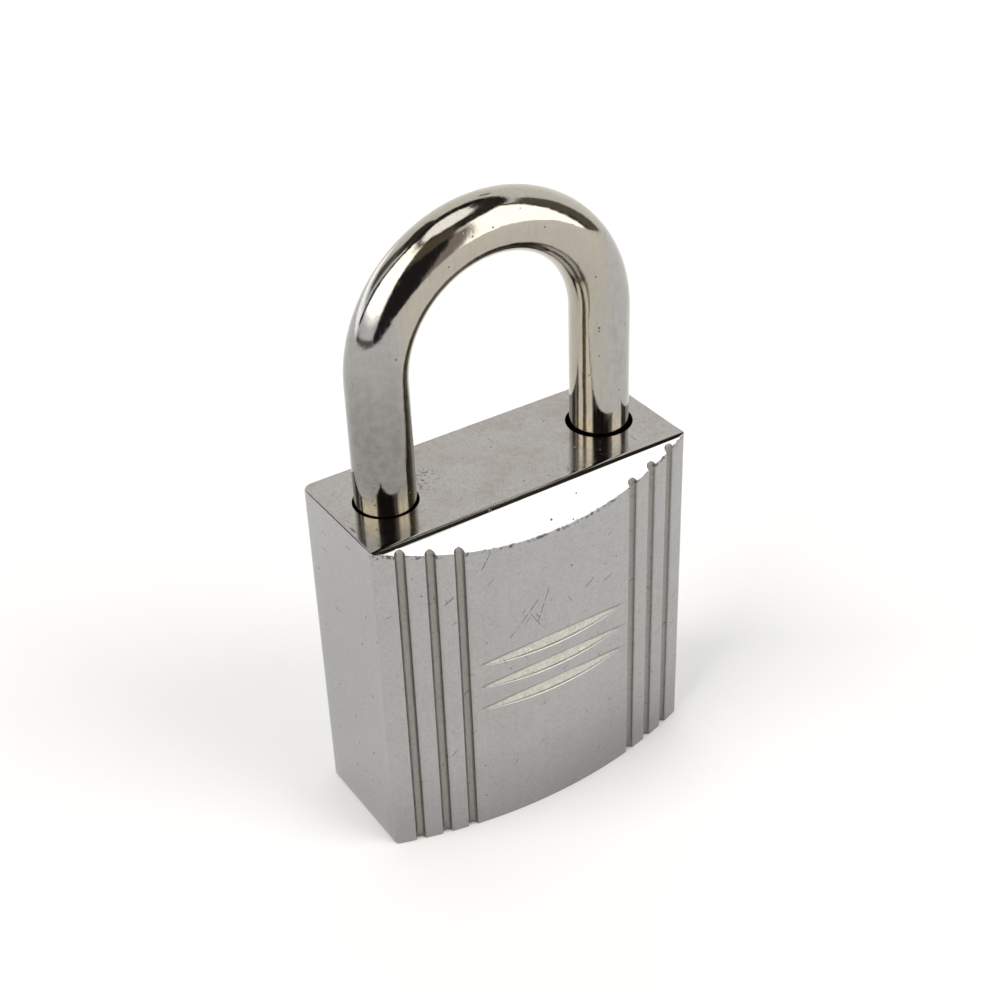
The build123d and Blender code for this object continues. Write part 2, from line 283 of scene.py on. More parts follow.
front = front_outline()
corner = np.array([half_width, corner_y])
rise_y = np.linspace(corner_y + front_edge_round, lip_y, 4)[1:]
right_corner = curve(front[-1], corner, corner + [0, front_edge_round], 5)[1:]
right_low = np.column_stack([np.full(3, half_width), rise_y])
side_y = np.linspace(lip_y, back_y - back_edge_radius, 13)[1:-1]
turn = np.linspace(0, math.pi / 2, 13)[:, None]
back_corner = np.array([half_width, back_y]) - back_edge_radius
back_corner = back_corner + back_edge_radius * np.hstack([np.cos(turn), np.sin(turn)])
right_high = np.concatenate([np.column_stack([np.full(11, half_width), side_y]), back_corner])
back_x = np.linspace(half_width - back_edge_radius, 0, 7)[1:-1]
right_back = np.concatenate([right_high, np.column_stack([back_x, np.full(5, back_y)])])
mirrored = np.array([-1, 1])
outline = np.concatenate([
    (right_low * mirrored)[::-1], (right_corner * mirrored)[::-1], front,
    right_corner, right_low, right_back, [[0, back_y]], (right_back * mirrored)[::-1]])
facet_columns = 2 * (len(right_low) + len(right_corner)) + len(front)
print("outline points:", len(outline), "of them under the facet:", facet_columns)

# %% [markdown]
# ## The bars and the crescent
#
# Three shallow bars are milled level across the front.  Each is a lens: two arcs meet
# at its tips, and its straight floor is deepest in the middle.  Above them a sloping
# facet trims the bow to a bright crescent, and a small radius leads from it to the
# flat top.  The skin's rows follow the edges of the bars, and its last rows follow
# the facet.

# %% Heights of the skin's rows
bar_half = flute_places[3] - flute_radius - 0.05
bar_half_height = 0.35
bar_sink = 0.15
bar_heights = 9.0 + 1.39 * np.array([-1, 0, 1])
bar_rim = 0.075
top_break_front = 0.035


def top_height(y):
    """Height of the top at y: level, then the lip's arc, then the facet's slope."""
    arc_y = np.clip(y, slope_y, lip_y)
    arc = case_top - lip_radius + np.sqrt(lip_radius**2 - (lip_y - arc_y) ** 2)
    return arc - np.clip(slope_y - y, 0, None) * math.tan(facet_slope)


def arc_drop(x, half, drop):
    """How far an arc has dropped at x, where it drops by a given amount at half."""
    radius = (half**2 + drop**2) / (2 * drop)
    return radius - np.sqrt(radius**2 - np.clip(np.abs(x), 0, half) ** 2)


def bar_depth(x):
    """Depth of a bar's floor behind the bow: two arcs that meet at the bar's tips."""
    bow_drop = bow_y(np.array(bar_half)) - front_apex_y
    floor_drop = bow_drop - bar_sink
    depth = bar_sink - arc_drop(x, bar_half, bow_drop) + arc_drop(x, bar_half, floor_drop)
    return np.clip(depth, 0, None)


def bar_rows(x, height):
    """Rows of (z, depth) up through one bar: a rounded rim, the wall, a small fillet,
    the floor, and the same mirrored."""
    half = np.maximum(bar_half_height - arc_drop(x, bar_half, bar_half_height), 0.006)
    depth = bar_depth(x)
    rim = np.minimum(bar_rim, 0.45 * depth + 0.0008)
    none = np.zeros_like(x)
    start, edge, end = [np.stack(pair) for pair in
                        ((-half - rim, none), (-half, none), (-half, np.minimum(rim, depth)))]
    foot = np.minimum(rim, 0.4 * half)
    low, heel, inner = [np.stack(pair) for pair in
                        ((-half, np.maximum(depth - foot, np.minimum(rim, depth))),
                         (-half, depth), (-half + foot, depth))]
    lower = np.concatenate([curve(start, edge, end, 3), curve(low, heel, inner, 2)])
    middle = np.stack([none, depth])[None]
    upper = lower[::-1] * np.array([-1, 1])[:, None]
    return np.concatenate([lower, middle, upper]) + np.array([height, 0])[:, None]


x, y = outline.T
ahead, behind = np.roll(outline, -1, 0), np.roll(outline, 1, 0)
along = (ahead - behind) / np.linalg.norm(ahead - behind, axis=1, keepdims=True)
inward = np.column_stack([-along[:, 1], along[:, 0]])
blend = np.clip((y - corner_y) / (lip_y + 0.15 - corner_y), 0, 1)
top_break = top_break_front + (edge_break - top_break_front) * blend**2 * (3 - 2 * blend)
bottom_break = np.full(len(x), edge_break) - (edge_break - top_break_front) * (y < corner_y)
near_front = (np.abs(x) < bar_half + 0.1) & (y < 0)

bars = [bar_rows(np.where(near_front, x, half_width), height) for height in bar_heights]
wall_bottom = np.stack([bottom_break, 0 * x])
wall_top = np.stack([top_height(y) - top_break, 0 * x])


def rows_between(lower, upper, count):
    """Even rows strictly between two rows of (z, depth)."""
    share = np.linspace(0, 1, count + 2)[1:-1, None, None]
    return lower + share * (upper - lower)


stack = [wall_bottom[None], rows_between(wall_bottom, bars[0][0], 9), bars[0],
         rows_between(bars[0][-1], bars[1][0], 2), bars[1],
         rows_between(bars[1][-1], bars[2][0], 2), bars[2],
         rows_between(bars[2][-1], wall_top, 9)]
wall = np.concatenate(stack)[:-1]
wall = np.stack([np.broadcast_to(x, wall[:, 0].shape), y + wall[:, 1], wall[:, 0]], -1)

# %% [markdown]
# ## The case skin
#
# The wall rises round the outline from an eased bottom edge to an eased top edge.
# The facet's columns carry on over the crescent and the lip to a straight line, and
# one flat face closes the top behind that line.

# %% Case skin
edge_steps = 4


def edge_rows(inset, height_at, rise):
    """Eases an edge: from the wall, round the sharp corner, to a point moved inwards.
    rise is the way from the corner to the wall, up or down."""
    inner = outline + inward * inset[:, None]
    wall_points = np.column_stack([x, y, height_at(y) + rise * inset])
    corner_points = np.column_stack([x, y, height_at(y)])
    cap_points = np.column_stack([inner, height_at(inner[:, 1])])
    return curve(wall_points, corner_points, cap_points, edge_steps)


top_edge = edge_rows(top_break, top_height, -1)
bottom_edge = edge_rows(bottom_break, np.zeros_like, 1)[::-1]
wrap = np.concatenate([bottom_edge[:-1], wall, top_edge])

crest = top_edge[-1][:facet_columns]
steps_along = np.linalg.norm(np.diff(crest[:, :2], axis=0), axis=1)
way_along = np.concatenate([[0], np.cumsum(steps_along)]) / steps_along.sum()
lip_x = crest[0, 0] + way_along * (crest[-1, 0] - crest[0, 0])
arc = np.linspace(0, facet_slope, 9)[::-1]
lip_rows = (lip_y - lip_radius * np.sin(arc))[:, None]
slope_share = np.linspace(0, 1, 9)[:-1, None]
slope_rows = crest[:, 1] + slope_share * np.maximum(slope_y - crest[:, 1], 0)
facet_y = np.concatenate([slope_rows, np.maximum(lip_rows, crest[:, 1])])
run = (facet_y - lip_y) / np.minimum(crest[:, 1] - lip_y, -1e-9)
facet_x = lip_x + np.clip(run, 0, 1) * (crest[:, 0] - lip_x)
facet = np.stack([facet_x, facet_y, top_height(facet_y)], -1)

top_loop = np.concatenate([facet[-1], top_edge[-1][facet_columns:]])

case = skin("case", [grid_patch(wrap, closed=True), grid_patch(facet),
                     flat_patch(top_loop), flat_patch(bottom_edge[0][::-1])])
print("case skin:", len(case.data.vertices), "points,", len(case.data.polygons), "faces")

# %% [markdown]
# ## Drilling the case
#
# The drills take their places from the CAD pieces that fill the holes: the bores from
# the shackle, the core's bore from the lock barrel, and each pin's hole from its pin.
# Drills that overlap one another go in separate cuts, so that each cut stays simple.

# %% Drill the case
fit = 0.02
running = 0.05
drill_start = -1.0
bore_ease = 0.03
bore_play = 0.25
guide_seat = 0.3
window_half = 0.95
recess_inset = 0.9


def bore(x, radius, bottom):
    """Upright bore from the top, with an eased rim: the drill flares as it passes
    the top face."""
    start = np.array([radius, case_top - bore_ease])
    end = np.array([radius + 1.2 * bore_ease, case_top + 0.3 * bore_ease])
    rim = curve(start, np.array([radius, case_top - 0.1 * bore_ease]), end, 4)
    rest = [(radius + 1.2 * bore_ease, case_top + 1), (0, case_top + 1)]
    return turned([(0, bottom), (radius, bottom), *rim, *rest], (x, leg_y, 0), steps=128)


def pin_hole(node, start_y):
    """Level hole from inside the case out through the back, round a pin."""
    low, high = node_box(node)
    middle = (low + high) / 2
    radius = (high[0] - low[0]) / 2 + fit
    return drill(radius, start_y, back_y + 1, (middle[0], 0, middle[2]), axis="Y")


barrel_high = node_box("lock_barrel")[1]
guide_high = node_box("bolt_guide")[1]
core_radius = barrel_high[0] + fit
rivet_low, rivet_high = node_box("base_rivets")
rivet_radius = (rivet_high[1] - rivet_low[1]) / 2
rivet_y = (rivet_high[1] + rivet_low[1]) / 2
bolt_low, bolt_high = node_box("lock_bolt")
plate_high = node_box("base_plate")[1]
dowel_low, dowel_high = node_box("guide_dowel")
dowel_middle = (dowel_low + dowel_high) / 2
dowel_radius = (dowel_high[0] - dowel_low[0]) / 2

cut(case, [bore(-leg_x, heel_bore_radius, heel_end_z - bore_play),
           bore(leg_x, toe_bore_radius, toe_end_z - bore_play),
           drill(core_radius, drill_start, guide_high[2], (0, 0, 0)),
           drill(rivet_radius + fit, drill_start, rivet_high[2] + fit, (-leg_x, rivet_y, 0)),
           drill(rivet_radius + fit, drill_start, rivet_high[2] + fit, (leg_x, rivet_y, 0))])
window = prism(box_loop((0, leg_x), (leg_y - window_half, leg_y + window_half)),
               bolt_low[2] - running, bolt_high[2] + running)
cut(case, [*prism(plain_loop(recess_inset), drill_start, plate_high[2]), *window,
           pin_hole("heel_retaining_pin", leg_y), pin_hole("friction_plug", leg_y),
           pin_hole("driver_stop_pin", 0),
           drill(dowel_radius + fit, guide_high[2] - guide_seat, dowel_high[2] + fit,
                 (dowel_middle[0], dowel_middle[1], 0))])
polish(case)
print("drilled case:", len(case.data.polygons), "faces")

# %% [markdown]
# ## The shackle
#
# The shackle is one length of round bar bent to an arch.  A circle carried along a
# path of two straight legs and a half circle gives its exact shape.  The heel leg is
# then slotted for its retaining pin and turned down to a neck, and the toe leg gets
# the notch that the bolt enters.

# %% Shackle
around, over_arch = 96, 128


def bar_surface():
    """A circle carried along the shackle's path.  A point is the path's point, plus
    the bar's radius times the cosine of an angle outwards and its sine across.  At
    both ends the radius shrinks in an eased edge and closes at the middle."""
    ease = 0.25
    tip = curve(np.array([wire_radius - ease, 0]), np.array([wire_radius, 0]),
                np.array([wire_radius, ease]), 5)
    tip = np.concatenate([[[0, 0]], [[0.7, 0]], tip])
    heel_z = np.concatenate([heel_end_z + tip[:, 1], np.linspace(heel_end_z + 1, arch_z - 0.4, 14)])
    toe_z = np.concatenate([np.linspace(arch_z - 0.4, toe_end_z + 1, 9), toe_end_z + tip[::-1, 1]])
    angle = np.linspace(math.pi, 0, over_arch + 1)
    path = np.concatenate([
        np.column_stack([np.full(len(heel_z), -leg_x), heel_z]),
        np.column_stack([leg_x * np.cos(angle), arch_z + leg_x * np.sin(angle)]),
        np.column_stack([np.full(len(toe_z), leg_x), toe_z])])
    out = np.concatenate([
        np.tile([-1.0, 0.0], (len(heel_z), 1)),
        np.column_stack([np.cos(angle), np.sin(angle)]),
        np.tile([1.0, 0.0], (len(toe_z), 1))])
    radius = np.full(len(path), wire_radius)
    radius[:len(tip)], radius[-len(tip):] = tip[:, 0], tip[::-1, 0]
    turn = np.linspace(0, 2 * math.pi, around, endpoint=False)
    reach = radius[:, None] * np.cos(turn)
    spots = [path[:, :1] + out[:, :1] * reach, leg_y - radius[:, None] * np.sin(turn),
             path[:, 1:] + out[:, 1:] * reach]
    return np.stack(spots, -1)


shackle = skin("shackle_bar", [grid_patch(bar_surface(), closed=True)])
slot_depth = 0.65
slot_play = 0.1
bolt_play = 0.15
clear_of_bar = 3.0
slot_y = leg_y + wire_radius - slot_depth
slot_half = (node_box("heel_retaining_pin")[1][0] + leg_x) + slot_play
slot_bottom = heel_end_z + 1.0
slot_top = node_box("friction_ball")[1][2] + slot_play
neck_top = slot_bottom + 2 * slot_half
notch_x = leg_x - wire_radius + 1.0
heel_slot = prism(box_loop((-leg_x - slot_half, -leg_x + slot_half), (slot_y, back_y)),
                  slot_bottom, slot_top)
toe_notch = prism(box_loop((leg_x - clear_of_bar, notch_x),
                           (leg_y - clear_of_bar, leg_y + clear_of_bar)),
                  bolt_low[2] - bolt_play, bolt_high[2] + bolt_play)
neck_radius = wire_radius - slot_depth
neck = turned([(neck_radius, slot_bottom), (clear_of_bar, slot_bottom), (clear_of_bar, neck_top),
               (neck_radius, neck_top), (neck_radius, slot_bottom)], (-leg_x, leg_y, 0))
cut(shackle, [*heel_slot, *toe_notch])
cut(shackle, [neck])
polish(shackle)
print("shackle:", len(shackle.data.polygons), "faces")

# %% [markdown]
# ## Shader arithmetic
#
# A finish is a formula on the place where it is seen.  The small class below wraps a
# shader socket, so that the formula can be written with + - * as on paper, and each sign
# adds a Math node.  Colours and directions go through Mix and Vector Math nodes.

# %% A socket that can be calculated with
class Wire:
    """A value on its way through a graph of shader nodes."""

    def __init__(self, graph, socket):
        self.graph, self.socket = graph, socket

    def __add__(self, other):
        return self.graph.math("ADD", self, other)

    def __sub__(self, other):
        return self.graph.math("SUBTRACT", self, other)

    def __rsub__(self, other):
        return self.graph.math("SUBTRACT", other, self)

    def __mul__(self, other):
        return self.graph.math("MULTIPLY", self, other)

    def __abs__(self):
        return self.graph.math("ABSOLUTE", self)

    __radd__, __rmul__ = __add__, __mul__

    def most(self, other):
        return self.graph.math("MAXIMUM", self, other)

    def least(self, other):
        return self.graph.math("MINIMUM", self, other)

    def ramp(self, start, end):
        """0 up to start, 1 from end on, and smooth between; end may be below start."""
        step = self.graph.node("ShaderNodeMapRange", {"interpolation_type": "SMOOTHSTEP"}, {
            "From Min": min(start, end), "From Max": max(start, end), "Value": self})
        return step if end > start else 1 - step


class Graph:
    """A tree of shader nodes that is built by writing formulas."""

    def __init__(self, tree):
        self.tree = tree
        tree.nodes.clear()

    def node(self, kind, settings=None, values=None, output=0):
        """Adds a node, applies its settings, then its socket values or links."""
        made = self.tree.nodes.new(kind)
        for key, value in (settings or {}).items():
            setattr(made, key, value)
        for key, value in (values or {}).items():
            if isinstance(value, Wire):
                self.tree.links.new(value.socket, made.inputs[key])
            else:
                made.inputs[key].default_value = value
        return Wire(self, made.outputs[output] if made.outputs else None)

    def math(self, operation, *values):
        return self.node("ShaderNodeMath", {"operation": operation}, dict(enumerate(values)))

    def vector(self, operation, first, second=None, output=0, **values):
        """A Vector Math node; second is a plain direction or another vector."""
        sockets = {0: first, **({} if second is None else {1: second}), **values}
        return self.node("ShaderNodeVectorMath", {"operation": operation}, sockets, output)

    def parts(self, vector):
        """The X, Y and Z of a vector."""
        return [self.node("ShaderNodeSeparateXYZ", None, {"Vector": vector}, axis)
                for axis in "XYZ"]

    def mix(self, factor, first, second):
        """Colour mix: first where factor is 0, second where it is 1."""
        colours = [value if isinstance(value, Wire) else (*value, 1) for value in (first, second)]
        return self.node("ShaderNodeMix", {"data_type": "RGBA"},
                         {0: factor, 6: colours[0], 7: colours[1]}, 2)


class Finish(Graph):
    """One material: its nodes, and the place on the piece in millimetres."""

    def __init__(self, name):
        self.material = bpy.data.materials.new(name)
        self.material.use_nodes = True
        super().__init__(self.material.node_tree)
        here = self.node("ShaderNodeTexCoord", output="Object")
        self.place = self.vector("SCALE", here, Scale=1000.0)
        self.x, self.y, self.z = self.parts(self.place)

    def noise(self, scale, detail=2.0, stretch=None, turn=(0, 0, 0), rough=0.5):
        """Soft noise from 0 to 1.  scale is lumps per millimetre; stretch makes the
        lumps longer or shorter along the turned axes."""
        spot = self.place
        if stretch or any(turn):
            spot = self.node("ShaderNodeMapping", {"vector_type": "TEXTURE"}, {
                "Vector": spot, "Rotation": turn, "Scale": stretch or (1, 1, 1)})
        return self.node("ShaderNodeTexNoise", None, {
            "Vector": spot, "Scale": scale, "Detail": detail, "Roughness": rough})

    def pits(self, scale, size, share, stretch=(1, 1, 1), turn=(0, 0, 0)):
        """Pits near the middle of a cell of scattered dots, in the given share of the
        cells.  scale is cells per millimetre; a narrow stretch turns pits to nicks."""
        spot = self.node("ShaderNodeMapping", {"vector_type": "TEXTURE"}, {
            "Vector": self.place, "Rotation": turn, "Scale": stretch})
        settings = {"Vector": spot, "Scale": scale}
        near = self.node("ShaderNodeTexVoronoi", None, settings).ramp(size, 0.5 * size)
        chance = self.node("ShaderNodeTexVoronoi", None, settings, "Color")
        return near * self.parts(chance)[0].ramp(1.1 * share, 0.9 * share)

    def stroke(self, start, end, width):
        """A scratch seen from the front, from one (x, z) to another: the distance to
        the nearest spot on the line between them, under its width."""
        start, end = (np.array([place[0], 0, place[1]], float) for place in (start, end))
        length = np.linalg.norm(end - start)
        aim = (end - start) / length
        spot = self.vector("SUBTRACT", self.vector("MULTIPLY", self.place, (1, 0, 1)), start)
        reach = self.vector("DOT_PRODUCT", spot, aim, "Value").most(0.0).least(float(length))
        nearest = self.vector("SCALE", self.combined(*aim), Scale=reach)
        gap = self.vector("DISTANCE", spot, nearest, "Value")
        return gap.ramp(width, 0.3 * width) * self.y.ramp(0.1, -0.1)

    def combined(self, x, y, z):
        return self.node("ShaderNodeCombineXYZ", None, {"X": float(x), "Y": float(y), "Z": float(z)})

    def bump(self, height, depth_mm, under=None):
        """Normal of a height field: depth_mm is how deep a height of 1 is."""
        values = {"Height": height, "Strength": 1.0, "Distance": depth_mm / 1000}
        if under:
            values["Normal"] = under
        return self.node("ShaderNodeBump", None, values)

    def metal(self, colour, roughness, normal=None, **sockets):
        """The metal itself, joined to the material's output."""
        values = {"Base Color": colour, "Metallic": 1.0, "Roughness": roughness, **sockets}
        if normal:
            values["Normal"] = normal
        surface = self.node("ShaderNodeBsdfPrincipled", None, values)
        self.node("ShaderNodeOutputMaterial", None, {"Surface": surface})
        return self.material


def coat(piece, material):
    """Gives a piece one material, and no other."""
    piece.data.materials.clear()
    piece.data.materials.append(material)


# %% [markdown]
# ## The stage
#
# The padlock stands on a pale table in a pale room.  Polished metal shows mostly what
# is round it, so the room matters more than the lamp: two tall windows, a dark corner
# behind the camera, a dark beam under the ceiling, and pale walls for the rest.

# %% Camera
camera_azimuth, camera_elevation, camera_roll = [math.radians(a) for a in (-32.0, 34.07, -2.07)]
camera_distance = 87.26
camera_aim = np.array([0.57, 1.45, 15.26])
camera_lens = 62.38

away = Vector((math.sin(camera_azimuth) * math.cos(camera_elevation),
               -math.cos(camera_azimuth) * math.cos(camera_elevation),
               math.sin(camera_elevation)))
camera = bpy.data.objects.new("camera", bpy.data.cameras.new("camera"))
camera.data.lens = camera_lens
camera.data.clip_start, camera.data.clip_end = 0.005, 10
camera.location = (Vector(camera_aim) + camera_distance * away) / 1000
camera.rotation_mode = "QUATERNION"
camera.rotation_quaternion = (-away).to_track_quat("-Z", "Y") @ Matrix.Rotation(
    camera_roll, 3, "Z").to_quaternion()
bpy.context.scene.collection.objects.link(camera)
bpy.context.scene.camera = camera
bpy.context.scene.view_settings.view_transform = "Standard"


# %% Lamp and table
def soft_box(name, direction, distance, size, power):
    """Square lamp at a distance in metres along a direction, aimed at the padlock.
    It lights the table, but the polished metal doesn't mirror it."""
    lamp = bpy.data.lights.new(name, "AREA")
    lamp.shape, lamp.size, lamp.energy = "SQUARE", size, power
    holder = bpy.data.objects.new(name, lamp)
    aim = Vector((0, 0, 0.014))
    direction = Vector(direction).normalized()
    holder.location = aim + distance * direction
    holder.rotation_mode = "QUATERNION"
    holder.rotation_quaternion = (-direction).to_track_quat("-Z", "Y")
    holder.visible_glossy = False
    bpy.context.scene.collection.objects.link(holder)


soft_box("front_lamp", (0.44, -0.46, 0.77), 0.5, 0.4, 0.3)

table_finish = Finish("pale_table")
table_colour = table_finish.mix(table_finish.noise(0.05), (0.92, 0.92, 0.925), (0.935, 0.935, 0.94))
surface = table_finish.node("ShaderNodeBsdfPrincipled", None, {
    "Base Color": table_colour, "Roughness": 0.8, "Specular IOR Level": 0.2})
table_finish.node("ShaderNodeOutputMaterial", None, {"Surface": surface})
table = skin("table", [flat_patch(np.column_stack([1500.0 * np.array(
    [(-1, -1), (1, -1), (1, 1), (-1, 1)]), np.zeros(4)]))])
coat(table, table_finish.material)

# %% [markdown]
# ## The room
#
# The room is painted on the sky in degrees: turn is 0 straight in front of the
# padlock and grows towards its right, and rise is 0 at the table and 90 overhead.
# Each panel has its own brightness, and soft borders.  The later panels cover the
# earlier ones.

# %% Room
world = bpy.data.worlds.new("room")
world.use_nodes = True
bpy.context.scene.world = world
room = Graph(world.node_tree)
way_x, way_y, way_z = room.parts(room.node("ShaderNodeTexCoord", output="Generated"))
degrees = 180 / math.pi
turn_angle = room.math("ARCTAN2", way_x, way_y * -1.0) * degrees
rise_angle = room.math("ARCSINE", way_z) * degrees


def panel(light, turns, rises, colour, border=4.0):
    """Covers the light with a colour between two turns and two rises, in degrees."""
    mask = 1.0
    for angle, (low, high) in ((turn_angle, turns), (rise_angle, rises)):
        if low > -180:
            mask = angle.ramp(low - border, low + border) * mask
        if high < 180:
            mask = angle.ramp(high + border, high - border) * mask
    return room.mix(mask, light, colour)


light = room.mix(rise_angle.ramp(66, 74), (0.94, 0.95, 0.97), (1.75, 1.77, 1.84))
light = panel(light, (92, 180), (-10, 52), (1.0, 0.99, 0.97))
light = panel(light, (-180, 180), (53, 69), (0.025, 0.023, 0.02), 2)
light = panel(light, (-60, 128), (60, 74), (0.04, 0.037, 0.028), 3)
light = panel(light, (-180, -128), (-10, 11), (2.0, 2.0, 2.0))
light = panel(light, (-122, -60), (16, 64), (2.9, 2.85, 2.65))
light = panel(light, (-130, -121), (6, 60), (0.03, 0.03, 0.05), 2)
light = panel(light, (-180, -138), (38, 58), (0.05, 0.048, 0.04), 3)
light = panel(light, (-160, -138), (16, 40), (0.12, 0.12, 0.11), 4)
light = panel(light, (-120, -60), (-1, 4), (0.12, 0.12, 0.11), 1.5)
light = panel(light, (-60, 6), (-10, 68), (0.13, 0.115, 0.08), 5)
light = panel(light, (-58, 2), (-10, 46), (0.022, 0.02, 0.022), 3)
light = panel(light, (4, 16), (-10, 44), (0.36, 0.29, 0.27), 4)
light = panel(light, (18, 62), (-10, 54), (2.7, 2.66, 2.55), 3)
light = panel(light, (62, 90), (-10, 48), (0.14, 0.135, 0.115), 3)
light = panel(light, (61, 67), (-10, 56), (0.04, 0.04, 0.07), 2)
light = panel(light, (139, 147), (39, 44), (0.04, 0.04, 0.03), 1)
background = room.node("ShaderNodeBackground", None, {"Color": light, "Strength": 1.12})
room.node("ShaderNodeOutputWorld", None, {"Surface": background})

# %% [markdown]
# ## Plated case
#
# Nickel over brass takes a mirror polish, but a pocket's worth of keys dulls it: the
# broad faces have soft clouds, brown stain near the shackle, tiny pits where the
# plate let go, and hair scratches.  The flutes and bars were never polished inside,
# so grime stays in the flutes and the bars' floors are pale and matt.  Painted shade
# is added too: on the right side of each flute, as a painted shadow beside each
# flute, under the upper edge of each bar, and towards the bottom of the front.  Each
# of these is a mask that depends on the place, and the masks blend a few plain metals.

# %% Masks on the case
plate = Finish("nickel_plate")
bow_here = bow_centre_y - plate.math("SQRT", bow_radius**2 - plate.x * plate.x)
behind_bow = plate.y - bow_here
side_x = abs(plate.x)

flute_mask, flute_side_shadow, flute_shade = 0.0, 0.0, 0.0
for place in flute_places[3:]:
    off_x, off_y = side_x - place, plate.y - float(bow_y(place))
    lean = off_x * plate.math("SIGN", plate.x)
    reach = plate.math("SQRT", off_x * off_x + off_y * off_y)
    flute_mask = reach.ramp(flute_radius + 0.05, flute_radius - 0.03) + flute_mask
    # A painted shadow just outside the right rim of each flute.
    flute_side_shadow = reach.ramp(flute_radius + 0.22, flute_radius) * lean.ramp(-0.2, 0.1) + flute_side_shadow
    # Painted shade on the right side of each flute.
    flute_shade = reach.ramp(0.5, 0.4) * lean.ramp(-0.10, 0.06) + flute_shade
on_front = plate.y.ramp(corner_y + 0.9, corner_y + 0.3)
below_facet = plate.z.ramp(case_top - 0.1, case_top - 0.4)
bar_mask = behind_bow.ramp(0.02, 0.045) * side_x.ramp(bar_half + 0.02, bar_half - 0.02)
bar_mask = bar_mask * abs(plate.z - bar_heights[1]).ramp(1.9, 1.8) * plate.y.ramp(-3.0, -3.4)
bar_pitch = bar_heights[1] - bar_heights[0]
from_bar = plate.math("WRAP", plate.z - bar_heights[1], 0.5 * bar_pitch, -0.5 * bar_pitch)
bar_edge = bar_half_height - plate.x * plate.x * (bar_half_height / bar_half**2)
bar_mask = bar_mask * (from_bar + bar_edge).ramp(-0.03, 0.02)
# Painted shade on each bar's floor, just under its upper edge.
bar_shade = (bar_edge - from_bar).ramp(0.21, 0.11)
top_mask = plate.z.ramp(case_top - 0.06, case_top - 0.01)
lip_drop = lip_radius * (1 - math.cos(facet_slope))
facet_edge_z = case_top - lip_drop - (slope_y - bow_here).most(0.0) * math.tan(facet_slope)
edge_gap = plate.z - facet_edge_z + top_break_front
crest = edge_gap.ramp(0.0, 0.06) * plate.y.ramp(lip_y + 0.15, lip_y)
chip_noise = plate.noise(3.2, 4.0, rough=0.7)
chips = abs(edge_gap + 0.05).ramp(0.16, 0.04) * chip_noise.ramp(0.50, 0.57)
chips = chips * behind_bow.ramp(0.25, 0.1)

# %% Scratches and pits on the case
strokes = [((-2.6, 11.5), (-1.0, 13.2), 0.035), ((-1.05, 11.85), (-0.35, 13.7), 0.03),
           ((-1.15, 12.4), (-0.8, 11.85), 0.03), ((-1.5, 12.6), (-0.9, 11.6), 0.022),
           ((-3.95, 16.05), (-3.5, 16.85), 0.035), ((-5.9, 14.55), (-5.4, 14.9), 0.04),
           ((1.85, 12.7), (2.25, 12.95), 0.04), ((3.0, 12.5), (3.55, 12.65), 0.03),
           ((2.35, 1.5), (2.8, 1.7), 0.03), ((-5.1, 8.5), (-4.8, 8.9), 0.035)]
scratches = 0.0
for start, end, width in strokes:
    scratches = plate.stroke(start, end, width) + scratches
scratches = scratches * plate.noise(4.0, 3.0).ramp(0.34, 0.5)
hair = 0.0
for tilt in (0.35, 0.9, -0.7):
    lines = plate.noise(5.5, 2.0, stretch=(0.06, 1.0, 1.0), turn=(0, tilt, 0.4 * tilt))
    hair = lines.ramp(0.61, 0.71) + hair
hair = hair * (1 - crest)
pitting = plate.pits(1.1, 0.09, 0.16) + plate.pits(2.6, 0.13, 0.07)
nicks = 0.0
for tilt, share in ((0.75, 0.03), (-0.45, 0.02), (1.2, 0.02)):
    nicks = plate.pits(0.8, 0.26, share, stretch=(0.11, 1, 1), turn=(0, tilt, 0)) + nicks
nicks = nicks * (1 - crest) * plate.noise(5.0, 2.0).ramp(0.3, 0.5)
cluster_x, cluster_y = plate.x + 3.9, plate.y - 1.2
cluster = plate.math("SQRT", cluster_x * cluster_x + cluster_y * cluster_y)
cluster = cluster.ramp(1.5, 0.2) * top_mask * plate.noise(6.0, 3.0).ramp(0.56, 0.64)

# %% Plated case finish
clouds = plate.noise(0.45, 4.0, rough=0.6)
fine_clouds = plate.noise(2.2, 5.0, rough=0.65)
grit = plate.noise(9.0, 3.0, rough=0.7)
stain = (clouds * 0.5 + fine_clouds * 0.5).ramp(0.38, 0.66)
# Painted shade: the front is painted darker towards the bottom.
low_front_shade = plate.z.ramp(5.5, 0.3) * 0.3 * on_front
colour = plate.mix(fine_clouds, (0.345, 0.346, 0.35), (0.465, 0.463, 0.462))
colour = plate.mix(top_mask * 0.25, colour, (0.37, 0.34, 0.30))
colour = plate.mix(stain * top_mask * 0.6, colour, (0.31, 0.27, 0.215))
colour = plate.mix(stain * (1 - top_mask) * 0.28, colour, (0.34, 0.32, 0.28))
specks = grit.ramp(0.54, 0.70) * (top_mask * 0.25 + 0.4) * (1 - crest)
colour = plate.mix(specks, colour, (0.27, 0.25, 0.23))
colour = plate.mix(low_front_shade, colour, (0.2, 0.2, 0.21))
in_flute = (on_front * flute_mask * below_facet).least(1.0)
# The painted shadow beside each flute darkens the front there.
colour = plate.mix(on_front * flute_side_shadow.least(1.0) * below_facet * 0.3, colour, (0.26, 0.24, 0.22))
